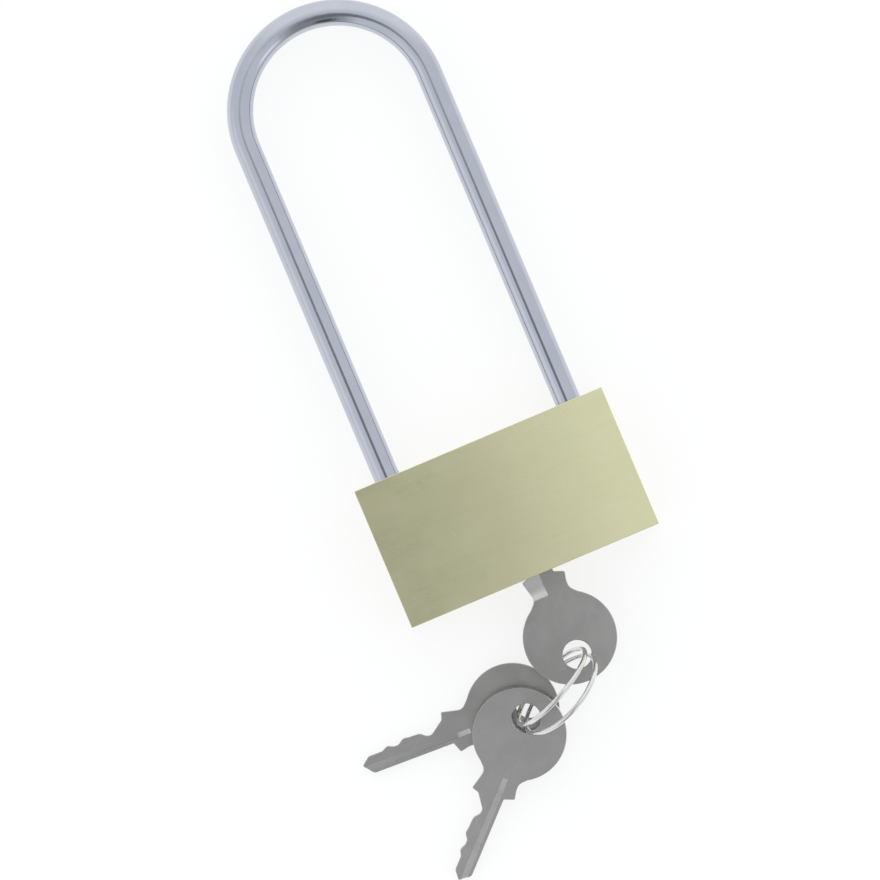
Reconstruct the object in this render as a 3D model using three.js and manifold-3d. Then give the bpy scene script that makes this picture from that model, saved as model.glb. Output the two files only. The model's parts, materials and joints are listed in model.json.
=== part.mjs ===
// Padlock with a long shackle, locked, with a key in its cylinder and two spare keys on a wire ring.
// Sizes are in millimetres. +X is to the right, +Y points from the key side to the shackle and
// +Z comes out of the front. The origin is the centre of the back face, which lies on the table.
import * as THREE from "three";
import { mergeVertices } from "three/addons/utils/BufferGeometryUtils.js";
import Module from "manifold-3d";

// ---- Clearances ----
const RUNNING_GAP = 0.1;
const PRESS_GAP = 0.05;
const END_GAP = 0.12;

// ---- Shackle ----
const BAR_RADIUS = 2.5;
const LEG_SPACING = 36.8;
const STRAIGHT_LEG = 66.8;
const TOE_BELOW_BOLT = 5.6;
const TOE_CHAMFER = 0.6;
const TOE_HOLE_FLOOR_GAP = 0.6;
const SWING_CLEARANCE = 0.4;
const HEEL_GROOVE_RADIUS = 1.85;
const HEEL_COLLAR = 2.2;
const HEEL_GROOVE_SPARE = 0.3;

// ---- Keys ----
const BOW_RADIUS = 8.86;
const BOW_HOLE_RADIUS = 2.7;
const BOW_HOLE_OFFSET = 3.45;
const KEY_THICKNESS = 1.7;
const KEY_EDGE_BEVEL = 0.16;
const NECK_CUT_SIDE = 3.75;
const NECK_SPINE_SIDE = 3.1;
const SHOULDER_LENGTH = 13.2;
const SHOULDER_CUT_SIDE = 4.5;
const SHOULDER_SPINE_SIDE = 3.75;
const SPINE_SHOULDER_SETBACK = 1.5;
const BLADE_SPINE = 2.0;
const BLADE_CUT_EDGE = 3.15;
const CUT_HEIGHTS = [1.03, 2.06, 1.42, 1.35];
const PEAK_HEIGHTS = [1.97, 2.25, 1.97];
const CUT_FLAT = 0.9;
const KEY_POINT_LENGTH = 4.0;
const KEY_POINT_TAPER = 1.7;
const WIDE_MILL_EDGE = 0.7;
const GROOVE_FROM = -1.3;
const GROOVE_TO = -0.4;
const MILL_DEPTH = 0.55;
const MILL_START = 8.7;
const MILL_WHEEL_RADIUS = 8.2;
const NECK_CURVE = 0.55;

// ---- Pins ----
const FIRST_PIN = 3.0;
const PIN_PITCH = 3.3;
const PIN_RADIUS = 1.2;
const PIN_TIP_RADIUS = 0.45;
const PIN_TIP_CONE = 0.62;
const DRIVER_LENGTH = 4.5;
const DRIVER_CHAMFER = 0.25;
const PIN_SPRING_LENGTH = 6.8;
const PIN_SPRING_TURNS = 6;
const PIN_SPRING_WIRE = 0.16;

// ---- Cylinder ----
const CYLINDER_OFFSET = 1.5;
const PLUG_RADIUS = 4.75;
const PLUG_CHAMFER = 0.2;
const PLUG_END_WALL = 2.3;
const KEYWAY_GAP = 0.13;
const KEYWAY_END_GAP = 0.3;
const RETAINING_GROOVE_WIDTH = 1.6;
const RETAINING_GROOVE_DEPTH = 0.9;
const RETAINING_GROOVE_FROM_END = 2.2;
const RETAINING_PIN_RADIUS = 0.7;
const CAM_PIN_RADIUS = 1.0;
const CAM_PIN_SEAT = 1.9;
const CAM_PIN_REACH = 4.5;
const CAM_SLOT_GAP = 0.2;

// ---- Bolt ----
const BOLT_RADIUS = 2.5;
const BOLT_TRAVEL = 4.0;
const BOLT_ENGAGEMENT = 1.0;
const BOLT_NOSE_RADIUS = 0.9;
const BOLT_TAIL = 5.5;
const BOLT_TO_PLUG_GAP = 0.7;
const BOLT_SPRING_TURNS = 5;
const BOLT_SPRING_WIRE = 0.15;
const BORE_PLUG_WALL = 1.0;
const RETAINER_LENGTH = 2.4;
const RETAINER_SETBACK = 0.6;
const RETAINER_TIP_RADIUS = 1.2;
const RETAINER_TIP_GAP = 0.2;

// ---- Body ----
const TOP_WALL = 2.6;
const SIDE_WALL = 4.0;
const FACE_WALL = 1.65;
const HEEL_FLOOR = 1.8;
const BODY_EDGE_ROUND = 0.45;
const BODY_CORNER = 0.15;
const SHACKLE_SPRING_WIRE = 0.28;
const SHACKLE_SPRING_TURNS = 5;

// ---- Ring and spare keys ----
const RING_RADIUS = 9.1;
const WIRE_RADIUS = 0.475;
const RING_HEADING = 206.3;
const RING_LEAN = 17;
const RING_TABLE_GAP = 0.45;
const RING_SIDE_GAP = 1.35;
const RING_TOP_SPREAD = 1.05;
const RING_END_ANGLE = 40;
const RING_PLAY_ALONG = 0.85;
const RING_PLAY_ACROSS = 0.35;
const KEY_TABLE_GAP = 0.05;
const LOWER_KEY_RISE = 2.05;
const LOWER_KEY_ALONG = -0.6;
const LOWER_KEY_ACROSS = 0.2;
const UPPER_KEY_RISE = 4.68;
const UPPER_KEY_ALONG = -0.55;
const UPPER_KEY_ACROSS = 0.5;
const SPARE_KEYS = [
  {
    name: "spare_key_1",
    heading: 177.8,
    rise: LOWER_KEY_RISE,
    shiftAlong: LOWER_KEY_ALONG,
    shiftAcross: LOWER_KEY_ACROSS,
  },
  {
    name: "spare_key_2",
    heading: 224.65,
    rise: UPPER_KEY_RISE,
    shiftAlong: UPPER_KEY_ALONG,
    shiftAcross: UPPER_KEY_ACROSS,
  },
];

// ---- Roundness ----
const BAR_SIDES = 28;
const BORE_SIDES = 40;
const PIN_SIDES = 20;
const BOW_SIDES = 44;
const WHEEL_SIDES = 72;
const WIRE_SIDES = 8;
const ARCH_STEPS = 36;
const RING_STEPS = 96;

// ---- Sizes that follow from the ones above ----
const legHoleRadius = BAR_RADIUS + RUNNING_GAP;
const boltBoreRadius = BOLT_RADIUS + RUNNING_GAP;
const plugBoreRadius = PLUG_RADIUS + RUNNING_GAP;
const chamberRadius = PIN_RADIUS + RUNNING_GAP;
const bladeInside = FIRST_PIN + PIN_PITCH * (CUT_HEIGHTS.length - 1) + KEY_POINT_LENGTH;
const plugLength = bladeInside + PLUG_END_WALL;
const boltFromBottom = plugLength + BOLT_TO_PLUG_GAP + BOLT_RADIUS;
const bodyHeight = boltFromBottom + boltBoreRadius + TOP_WALL;
const bodyWidth = LEG_SPACING + 2 * (legHoleRadius + SIDE_WALL);
const bodyThickness = 2 * (plugBoreRadius + FACE_WALL);
const midZ = bodyThickness / 2;
const top = bodyHeight / 2;
const bottom = -bodyHeight / 2;
const left = -bodyWidth / 2;
const toeX = -LEG_SPACING / 2;
const heelX = LEG_SPACING / 2;
const boltY = bottom + boltFromBottom;
const plugEnd = bottom + plugLength;
const toeTip = boltY - TOE_BELOW_BOLT;
const lift = top - toeTip + SWING_CLEARANCE;
const archY = top + STRAIGHT_LEG;
const heelGrooveTop = boltY + RETAINER_TIP_RADIUS + HEEL_GROOVE_SPARE;
const heelGrooveBottom = boltY - RETAINER_TIP_RADIUS - HEEL_GROOVE_SPARE - lift;
const heelEnd = heelGrooveBottom - HEEL_COLLAR;
const heelHoleFloor = bottom + HEEL_FLOOR;
const boltNose = toeX + BAR_RADIUS - BOLT_ENGAGEMENT;
const boltTail = CYLINDER_OFFSET + BOLT_TAIL;
const retainerShoulder = heelX - legHoleRadius - RETAINER_SETBACK;
const retainerSeat = retainerShoulder - RETAINER_LENGTH;
const camX = CYLINDER_OFFSET - BOLT_TRAVEL / 2;
const camZ = midZ + BOLT_TRAVEL / 2;
const retainingGrooveY = plugEnd - RETAINING_GROOVE_FROM_END - RETAINING_GROOVE_WIDTH / 2;
const driverStart = CYLINDER_OFFSET - plugBoreRadius;
const driverEnd = driverStart - DRIVER_LENGTH;
const chamberPlugInner = driverEnd - PIN_SPRING_LENGTH;
const keyBowY = bottom - SHOULDER_LENGTH - RUNNING_GAP;

const wasm = await Module();
wasm.setup();

// ---- Materials ----
function finish(name, color, roughness, metalness) {
  return new THREE.MeshStandardMaterial({ name, color, roughness, metalness });
}

const MATERIALS = {
  body: finish("body_brass", 0xbdb78c, 0.45, 0.85),
  shackle: finish("shackle_chrome", 0xb9bdc8, 0.15, 1),
  brass: finish("turned_brass", 0xc2a24e, 0.35, 0.9),
  steel: finish("steel", 0x9a9ca0, 0.3, 1),
  key: finish("key_nickel", 0x8f8f8d, 0.45, 0.9),
  ring: finish("ring_steel", 0xc4c5c8, 0.2, 1),
};

// ---- Solids ----
function solid(geometry) {
  geometry.deleteAttribute("normal");
  geometry.deleteAttribute("uv");
  const merged = mergeVertices(geometry, 1e-4);
  const mesh = new wasm.Mesh({
    numProp: 3,
    vertProperties: merged.attributes.position.array,
    triVerts: new Uint32Array(merged.index.array),
  });
  return new wasm.Manifold(mesh);
}

function shell(manifold) {
  const mesh = manifold.getMesh();
  const geometry = new THREE.BufferGeometry();
  geometry.setAttribute("position", new THREE.BufferAttribute(mesh.vertProperties, 3));
  geometry.setIndex(new THREE.BufferAttribute(mesh.triVerts, 1));
  geometry.computeVertexNormals();
  return geometry;
}

function turned(profile, sides) {
  return new THREE.LatheGeometry(profile.map(([radius, height]) => new THREE.Vector2(radius, height)), sides);
}

function rod(radius, from, to, sides) {
  return turned([[0, from], [radius, from], [radius, to], [0, to]], sides);
}

function alongX(geometry) {
  return geometry.rotateZ(-Math.PI / 2);
}

function alongZ(geometry) {
  return geometry.rotateX(Math.PI / 2);
}

function block(width, height, depth, x, y, z) {
  return new THREE.BoxGeometry(width, height, depth).translate(x, y, z);
}

// A path whose steps are even in its own parameter, so that a straight stretch can be one long step.
class Path extends THREE.Curve {
  constructor(pointAt) {
    super();
    this.pointAt = pointAt;
  }

  getPoint(t, target = new THREE.Vector3()) {
    return target.copy(this.pointAt(t));
  }

  getPointAt(u, target) {
    return this.getPoint(u, target);
  }

  getTangentAt(u, target) {
    return this.getTangent(u, target);
  }
}

function roundBarAlong(pointAt, radius, sides, steps) {
  const section = new THREE.Shape().absarc(0, 0, radius, 0, 2 * Math.PI);
  const extrudePath = new Path(pointAt);
  return new THREE.ExtrudeGeometry(section, { steps, extrudePath, curveSegments: sides / 2 });
}

// A spring along +Y from one height to another, with its wire's surface just inside both ends.
function coilSpring(outerRadius, wire, turns, from, to) {
  const radius = outerRadius - wire;
  const start = from + wire + END_GAP;
  const length = to - wire - END_GAP - start;
  const pointAt = (t) => {
    const angle = 2 * Math.PI * turns * t;
    return new THREE.Vector3(radius * Math.cos(angle), start + length * t, radius * Math.sin(angle));
  };
  return roundBarAlong(pointAt, wire, 6, turns * 12);
}

// ---- Body ----
function bodyBlock() {
  const inset = BODY_EDGE_ROUND;
  const cornerX = bodyWidth / 2 - inset - BODY_CORNER;
  const cornerY = bodyHeight / 2 - inset - BODY_CORNER;
  const quarter = Math.PI / 2;
  const face = new THREE.Shape();
  face.absarc(cornerX, cornerY, BODY_CORNER, 0, quarter);
  face.absarc(-cornerX, cornerY, BODY_CORNER, quarter, 2 * quarter);
  face.absarc(-cornerX, -cornerY, BODY_CORNER, 2 * quarter, 3 * quarter);
  face.absarc(cornerX, -cornerY, BODY_CORNER, 3 * quarter, 4 * quarter);
  const geometry = new THREE.ExtrudeGeometry(face, {
    depth: bodyThickness - 2 * inset,
    bevelThickness: inset,
    bevelSize: inset,
    bevelSegments: 3,
    curveSegments: 2,
  });
  return geometry.translate(0, 0, inset);
}

function body() {
  const past = 1;
  let work = solid(bodyBlock());
  const chamberBore = alongX(rod(chamberRadius, left - past, CYLINDER_OFFSET - PLUG_RADIUS, PIN_SIDES));
  const cuts = [
    rod(plugBoreRadius, bottom - past, plugEnd + CAM_PIN_REACH + END_GAP, BORE_SIDES)
      .translate(CYLINDER_OFFSET, 0, midZ),
    rod(legHoleRadius, toeTip - TOE_HOLE_FLOOR_GAP, top + past, BAR_SIDES).translate(toeX, 0, midZ),
    rod(legHoleRadius, heelHoleFloor, top + past, BAR_SIDES).translate(heelX, 0, midZ),
    alongX(rod(boltBoreRadius, left - past, heelX, BAR_SIDES)).translate(0, boltY, midZ),
    alongZ(rod(RETAINING_PIN_RADIUS + PRESS_GAP, -past, midZ - PLUG_RADIUS + RUNNING_GAP, PIN_SIDES))
      .translate(CYLINDER_OFFSET, retainingGrooveY, 0),
    ...CUT_HEIGHTS.map((_, i) => chamberBore.clone().translate(0, pinY(i), midZ)),
  ];
  for (const cut of cuts) work = work.subtract(solid(cut));
  return shell(work);
}

function pinY(index) {
  return bottom + FIRST_PIN + PIN_PITCH * index;
}

// ---- Shackle ----
// One step up the toe leg, the steps of the arch and one step down the heel leg.
function shacklePoint(t) {
  const step = t * (ARCH_STEPS + 2) - 1;
  if (step < 0) return new THREE.Vector3(toeX, archY + step * (archY - toeTip), midZ);
  if (step > ARCH_STEPS) return new THREE.Vector3(heelX, archY - (step - ARCH_STEPS) * (archY - heelEnd), midZ);
  const angle = Math.PI * (1 - step / ARCH_STEPS);
  return new THREE.Vector3(heelX * Math.cos(angle), archY + heelX * Math.sin(angle), midZ);
}

// A ring that turns a leg down between two heights, with its edges sloped as the radii say.
function turningCut(innerFrom, innerTo, from, to) {
  const outside = 2 * BAR_RADIUS;
  return turned([[innerFrom, from], [outside, from], [outside, to], [innerTo, to], [innerFrom, from]], BAR_SIDES);
}

function toeNotch() {
  const notchTop = boltY + BOLT_NOSE_RADIUS + BOLT_ENGAGEMENT + 4 * RUNNING_GAP;
  const slip = (lift / BOLT_TRAVEL) * BOLT_ENGAGEMENT;
  const notchBottom = boltY - BOLT_NOSE_RADIUS - slip - 1.5 * RUNNING_GAP;
  const notchDepth = BOLT_ENGAGEMENT + 1.5 * RUNNING_GAP;
  const notchX = toeX + 2 * BAR_RADIUS - notchDepth;
  return block(2 * BAR_RADIUS, notchTop - notchBottom, 3 * BAR_RADIUS, notchX, (notchTop + notchBottom) / 2, midZ);
}

function shackle() {
  const chamfered = BAR_RADIUS - TOE_CHAMFER;
  const groove = HEEL_GROOVE_RADIUS;
  const groovedSlope = BAR_RADIUS - groove;
  const toeCut = turningCut(chamfered - TOE_CHAMFER, BAR_RADIUS + TOE_CHAMFER, toeTip - TOE_CHAMFER,
    toeTip + 2 * TOE_CHAMFER);
  const heelCut = turningCut(groove - TOE_CHAMFER, BAR_RADIUS + TOE_CHAMFER, heelEnd - TOE_CHAMFER,
    heelEnd + groovedSlope + TOE_CHAMFER);
  const grooveCut = turningCut(groove, groove, heelGrooveBottom, heelGrooveTop);
  let work = solid(roundBarAlong(shacklePoint, BAR_RADIUS, BAR_SIDES, ARCH_STEPS + 2));
  work = work.subtract(solid(toeCut.translate(toeX, 0, midZ)));
  work = work.subtract(solid(toeNotch()));
  work = work.subtract(solid(grooveCut.translate(heelX, 0, midZ)));
  work = work.subtract(solid(heelCut.translate(heelX, 0, midZ)));
  return shell(work);
}

// ---- Cylinder ----
// The blade's cross-section in the key's own X and Z, grown all round by the gap given.
function bladeSection(grow) {
  const half = KEY_THICKNESS / 2;
  const web = half - MILL_DEPTH + grow;
  return [
    [BLADE_SPINE + grow, -half - grow],
    [-GROOVE_FROM - grow, -half - grow],
    [-GROOVE_FROM - grow, -web],
    [-GROOVE_TO + grow, -web],
    [-GROOVE_TO + grow, -half - grow],
    [-BLADE_CUT_EDGE - grow, -half - grow],
    [-BLADE_CUT_EDGE - grow, web],
    [-WIDE_MILL_EDGE - grow, web],
    [-WIDE_MILL_EDGE - grow, half + grow],
    [BLADE_SPINE + grow, half + grow],
  ];
}

function keyway() {
  const depth = bladeInside + KEYWAY_END_GAP + 1;
  const section = new THREE.Shape(bladeSection(KEYWAY_GAP).map(([x, z]) => new THREE.Vector2(x, -z)));
  return new THREE.ExtrudeGeometry(section, { depth, bevelEnabled: false })
    .rotateX(-Math.PI / 2)
    .translate(0, bottom - 1, 0);
}

function cylinderPlug() {
  const grooveRadius = PLUG_RADIUS - RETAINING_GROOVE_DEPTH;
  const grooveFrom = retainingGrooveY - RETAINING_GROOVE_WIDTH / 2;
  const grooveTo = retainingGrooveY + RETAINING_GROOVE_WIDTH / 2;
  let work = solid(turned([
    [0, bottom],
    [PLUG_RADIUS - PLUG_CHAMFER, bottom],
    [PLUG_RADIUS, bottom + PLUG_CHAMFER],
    [PLUG_RADIUS, grooveFrom],
    [grooveRadius, grooveFrom],
    [grooveRadius, grooveTo],
    [PLUG_RADIUS, grooveTo],
    [PLUG_RADIUS, plugEnd - PLUG_CHAMFER],
    [PLUG_RADIUS - PLUG_CHAMFER, plugEnd],
    [0, plugEnd],
  ], BORE_SIDES));
  const chamberFloor = Math.min(...CUT_HEIGHTS) - PIN_TIP_RADIUS;
  const chamber = alongX(rod(chamberRadius, -PLUG_RADIUS - 1, -chamberFloor, PIN_SIDES));
  const pinSeat = rod(CAM_PIN_RADIUS + PRESS_GAP, plugEnd - CAM_PIN_SEAT, plugEnd + 1, PIN_SIDES);
  work = work.subtract(solid(keyway()));
  work = work.subtract(solid(pinSeat.translate(camX - CYLINDER_OFFSET, 0, camZ - midZ)));
  for (let i = 0; i < CUT_HEIGHTS.length; i += 1) {
    work = work.subtract(solid(chamber.clone().translate(0, pinY(i), 0)));
  }
  return shell(work).translate(CYLINDER_OFFSET, 0, midZ);
}

function camPin() {
  return rod(CAM_PIN_RADIUS, plugEnd - CAM_PIN_SEAT + PRESS_GAP, plugEnd + CAM_PIN_REACH, PIN_SIDES)
    .translate(camX, 0, camZ);
}

function retainingPin() {
  const grooveFloor = midZ - PLUG_RADIUS + RETAINING_GROOVE_DEPTH;
  return alongZ(rod(RETAINING_PIN_RADIUS, RUNNING_GAP, grooveFloor - 2 * RUNNING_GAP, PIN_SIDES))
    .translate(CYLINDER_OFFSET, retainingGrooveY, 0);
}

// ---- Pins ----
// The flat end stops short of the plug's round surface, so that the pin turns with the plug.
function keyPin(index) {
  const tip = CUT_HEIGHTS[index] + END_GAP;
  const flatEnd = Math.sqrt(PLUG_RADIUS ** 2 - PIN_RADIUS ** 2);
  return alongX(turned([
    [0, -flatEnd],
    [PIN_RADIUS, -flatEnd],
    [PIN_RADIUS, -tip - PIN_TIP_CONE],
    [PIN_TIP_RADIUS, -tip],
    [0, -tip],
  ], PIN_SIDES)).translate(CYLINDER_OFFSET, pinY(index), midZ);
}

function driverPin(index) {
  return alongX(turned([
    [0, driverEnd],
    [PIN_RADIUS - DRIVER_CHAMFER, driverEnd],
    [PIN_RADIUS, driverEnd + DRIVER_CHAMFER],
    [PIN_RADIUS, driverStart],
    [0, driverStart],
  ], PIN_SIDES)).translate(0, pinY(index), midZ);
}

function pinSpring(index) {
  const spring = coilSpring(PIN_RADIUS - RUNNING_GAP, PIN_SPRING_WIRE, PIN_SPRING_TURNS,
    chamberPlugInner, driverEnd);
  return alongX(spring).translate(0, pinY(index), midZ);
}

function chamberPlug(index) {
  return alongX(rod(chamberRadius - PRESS_GAP, left, chamberPlugInner, PIN_SIDES))
    .translate(0, pinY(index), midZ);
}

// ---- Bolt ----
function bolt() {
  const cone = BOLT_RADIUS - BOLT_NOSE_RADIUS;
  const slotFloor = camZ - midZ - CAM_PIN_RADIUS - CAM_SLOT_GAP;
  const slotWidth = 2 * (CAM_PIN_RADIUS + CAM_SLOT_GAP);
  const bar = alongX(turned([
    [0, boltNose],
    [BOLT_NOSE_RADIUS, boltNose],
    [BOLT_RADIUS, boltNose + cone],
    [BOLT_RADIUS, boltTail],
    [0, boltTail],
  ], BAR_SIDES));
  const slot = block(slotWidth, 3 * BOLT_RADIUS, BOLT_RADIUS, camX, 0, slotFloor + BOLT_RADIUS / 2);
  const deepSlot = block(slotWidth, 3 * BOLT_RADIUS, BOLT_RADIUS, camX, 0, slotFloor + BOLT_RADIUS);
  return shell(solid(bar).subtract(solid(slot)).subtract(solid(deepSlot))).translate(0, boltY, midZ);
}

function boltSpring() {
  return alongX(coilSpring(BOLT_RADIUS - 2 * RUNNING_GAP, BOLT_SPRING_WIRE, BOLT_SPRING_TURNS, boltTail,
    retainerSeat)).translate(0, boltY, midZ);
}

function boltBorePlug() {
  return alongX(rod(boltBoreRadius - PRESS_GAP, left, left + SIDE_WALL - BORE_PLUG_WALL, BAR_SIDES))
    .translate(0, boltY, midZ);
}

function heelRetainer() {
  const tip = heelX - HEEL_GROOVE_RADIUS - RETAINER_TIP_GAP;
  return alongX(turned([
    [0, retainerSeat],
    [boltBoreRadius - PRESS_GAP, retainerSeat],
    [boltBoreRadius - PRESS_GAP, retainerShoulder],
    [RETAINER_TIP_RADIUS, retainerShoulder],
    [RETAINER_TIP_RADIUS, tip],
    [0, tip],
  ], BAR_SIDES)).translate(0, boltY, midZ);
}

function shackleSpring() {
  return coilSpring(BAR_RADIUS - RUNNING_GAP, SHACKLE_SPRING_WIRE, SHACKLE_SPRING_TURNS, heelHoleFloor,
    heelEnd).translate(heelX, 0, midZ);
}

// ---- Keys ----
// In its own frame a key points along +Y from the centre of its bow, with its cuts towards -X.
function keyOutline() {
  const inset = KEY_EDGE_BEVEL;
  const bow = BOW_RADIUS - inset;
  const bladeStart = SHOULDER_LENGTH - SPINE_SHOULDER_SETBACK;
  const neckAngle = (across) => Math.acos((across - inset) / bow);
  const firstCut = SHOULDER_LENGTH + RUNNING_GAP + FIRST_PIN;
  const point = firstCut - FIRST_PIN + bladeInside;
  const outline = new THREE.Shape();
  outline.absarc(0, 0, bow, Math.PI - neckAngle(NECK_CUT_SIDE), neckAngle(NECK_SPINE_SIDE), false);
  outline.quadraticCurveTo(NECK_SPINE_SIDE - inset, bow + NECK_CURVE,
    SHOULDER_SPINE_SIDE - inset, bladeStart - inset);
  outline.lineTo(BLADE_SPINE - inset, bladeStart - inset);
  outline.lineTo(BLADE_SPINE - inset, point - KEY_POINT_TAPER);
  outline.lineTo(0, point - inset);
  outline.lineTo(-CUT_HEIGHTS.at(-1) + inset, point - KEY_POINT_TAPER);
  for (let i = CUT_HEIGHTS.length - 1; i >= 0; i -= 1) {
    const y = firstCut + PIN_PITCH * i;
    outline.lineTo(-CUT_HEIGHTS[i] + inset, y + CUT_FLAT / 2);
    outline.lineTo(-CUT_HEIGHTS[i] + inset, y - CUT_FLAT / 2);
    if (i > 0) outline.lineTo(-PEAK_HEIGHTS[i - 1] + inset, y - PIN_PITCH / 2);
  }
  outline.lineTo(-BLADE_CUT_EDGE + inset, SHOULDER_LENGTH);
  outline.lineTo(-BLADE_CUT_EDGE, SHOULDER_LENGTH - inset);
  outline.lineTo(-SHOULDER_CUT_SIDE + inset, SHOULDER_LENGTH - inset);
  outline.closePath();
  outline.holes.push(new THREE.Path().absarc(0, -BOW_HOLE_OFFSET, BOW_HOLE_RADIUS + inset, 0, 2 * Math.PI));
  return outline;
}

function keyBlank() {
  const geometry = new THREE.ExtrudeGeometry(keyOutline(), {
    depth: KEY_THICKNESS - 2 * KEY_EDGE_BEVEL,
    bevelThickness: KEY_EDGE_BEVEL,
    bevelSize: KEY_EDGE_BEVEL,
    bevelSegments: 1,
    curveSegments: BOW_SIDES / 2,
  });
  return geometry.translate(0, 0, KEY_EDGE_BEVEL - KEY_THICKNESS / 2);
}

// What a milling wheel takes out along the blade, between two places across it. Side is 1 on the front.
function milledSlot(from, to, side) {
  const length = 4 * BOW_RADIUS;
  const web = KEY_THICKNESS / 2 - MILL_DEPTH;
  const wheelCentre = MILL_START + Math.sqrt(MILL_WHEEL_RADIUS ** 2 - (MILL_WHEEL_RADIUS - MILL_DEPTH) ** 2);
  const level = block(to - from, length, KEY_THICKNESS, (from + to) / 2, wheelCentre + length / 2,
    side * (web + KEY_THICKNESS / 2));
  const wheel = alongX(rod(MILL_WHEEL_RADIUS, from, to, WHEEL_SIDES))
    .translate(0, wheelCentre, side * (web + MILL_WHEEL_RADIUS));
  return solid(level).add(solid(wheel));
}

function key() {
  const wideMill = milledSlot(-2 * BOW_RADIUS, -WIDE_MILL_EDGE, 1);
  const groove = milledSlot(-GROOVE_TO, -GROOVE_FROM, -1);
  return shell(solid(keyBlank()).subtract(wideMill).subtract(groove));
}

// ---- Ring ----
const heading = THREE.MathUtils.degToRad(RING_HEADING);
const lean = THREE.MathUtils.degToRad(RING_LEAN);
const ringAlong = new THREE.Vector3(Math.cos(heading), Math.sin(heading), 0);
const ringAcross = new THREE.Vector3(-Math.sin(heading), Math.cos(heading), 0);
const ringUp = ringAcross.clone().multiplyScalar(Math.sin(lean)).addScaledVector(new THREE.Vector3(0, 0, 1),
  Math.cos(lean));
const ringAxis = ringAlong.clone().cross(ringUp);
const ringCentreZ = RING_RADIUS * Math.cos(lean) + WIRE_RADIUS + RING_TABLE_GAP;
const turnSpacing = 2 * (BOW_HOLE_RADIUS - WIRE_RADIUS - RING_SIDE_GAP);
const keyHole = new THREE.Vector3(CYLINDER_OFFSET, keyBowY - BOW_HOLE_OFFSET, midZ);

// How far along and up the ring's own plane its wire is at a given height above the table.
function ringAtHeight(z) {
  const up = (z - ringCentreZ) / Math.cos(lean);
  return { up, along: Math.sqrt(RING_RADIUS ** 2 - up ** 2) };
}

const atKeyHole = ringAtHeight(midZ);
const ringCentre = keyHole.clone()
  .addScaledVector(ringAlong, atKeyHole.along - RING_PLAY_ALONG)
  .addScaledVector(ringAcross, RING_PLAY_ACROSS)
  .addScaledVector(ringUp, -atKeyHole.up);

// The wire makes two turns. It starts below the key in the lock, runs over the top to the spare keys,
// crosses to its other side under them and ends below the spare keys after the second turn.
function ringPath() {
  const startAngle = Math.atan2(atKeyHole.up, -atKeyHole.along) + 2 * Math.PI;
  const atSpareKeys = ringAtHeight(SPARE_KEYS[0].rise + KEY_THICKNESS / 2);
  const upperArc = startAngle - Math.atan2(atSpareKeys.up, atSpareKeys.along);
  const endAngle = THREE.MathUtils.degToRad(RING_END_ANGLE);
  const wholeTravel = 2 * Math.PI + upperArc + 2 * endAngle;
  return (t) => {
    const travel = wholeTravel * t - endAngle;
    const angle = startAngle - travel;
    const crossing = THREE.MathUtils.clamp((travel - upperArc) / (2 * Math.PI - upperArc), 0, 1);
    const spread = turnSpacing / 2 + RING_TOP_SPREAD * ((1 + Math.sin(angle)) / 2) ** 2;
    return ringCentre.clone()
      .addScaledVector(ringAlong, RING_RADIUS * Math.cos(angle))
      .addScaledVector(ringUp, RING_RADIUS * Math.sin(angle))
      .addScaledVector(ringAxis, spread * Math.cos(Math.PI * crossing));
  };
}

function keyRing() {
  return roundBarAlong(ringPath(), WIRE_RADIUS, WIRE_SIDES, RING_STEPS);
}

// A spare key lies cuts up and over, with its hole round the ring and its point on the table.
function spareKeyPlace({ heading: turn, rise, shiftAlong, shiftAcross }) {
  const { up, along } = ringAtHeight(rise + KEY_THICKNESS / 2);
  const hole = ringCentre.clone()
    .addScaledVector(ringAlong, along + shiftAlong)
    .addScaledVector(ringUp, up)
    .addScaledVector(ringAcross, shiftAcross);
  const holeToPoint = BOW_HOLE_OFFSET + SHOULDER_LENGTH + RUNNING_GAP + bladeInside;
  const drop = (rise - KEY_TABLE_GAP) / holeToPoint;
  const level = Math.sqrt(1 - drop ** 2);
  const angle = THREE.MathUtils.degToRad(turn);
  const pointing = new THREE.Vector3(level * Math.cos(angle), level * Math.sin(angle), -drop);
  const spineSide = new THREE.Vector3(-Math.sin(angle), Math.cos(angle), 0);
  const thickness = spineSide.clone().cross(pointing);
  const bowCentre = hole.clone().addScaledVector(pointing, BOW_HOLE_OFFSET);
  return new THREE.Matrix4().makeBasis(spineSide, pointing, thickness).setPosition(bowCentre);
}

// ---- The padlock ----
const padlock = new THREE.Group();
padlock.name = "padlock";

function add(name, geometry, material) {
  const mesh = new THREE.Mesh(geometry, material);
  mesh.name = name;
  padlock.add(mesh);
}

add("body", body(), MATERIALS.body);
add("shackle", shackle(), MATERIALS.shackle);
add("cylinder_plug", cylinderPlug(), MATERIALS.brass);
add("cam_pin", camPin(), MATERIALS.steel);
add("cylinder_retaining_pin", retainingPin(), MATERIALS.steel);
CUT_HEIGHTS.forEach((_, i) => {
  add(`key_pin_${i + 1}`, keyPin(i), MATERIALS.brass);
  add(`driver_pin_${i + 1}`, driverPin(i), MATERIALS.brass);
  add(`pin_spring_${i + 1}`, pinSpring(i), MATERIALS.steel);
  add(`chamber_plug_${i + 1}`, chamberPlug(i), MATERIALS.body);
});
add("bolt", bolt(), MATERIALS.steel);
add("bolt_spring", boltSpring(), MATERIALS.steel);
add("bolt_bore_plug", boltBorePlug(), MATERIALS.body);
add("heel_retainer", heelRetainer(), MATERIALS.steel);
add("shackle_spring", shackleSpring(), MATERIALS.steel);
add("key_in_lock", key().translate(CYLINDER_OFFSET, keyBowY, midZ), MATERIALS.key);
for (const place of SPARE_KEYS) add(place.name, key().applyMatrix4(spareKeyPlace(place)), MATERIALS.key);
add("key_ring", keyRing(), MATERIALS.ring);

export default padlock;
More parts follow.
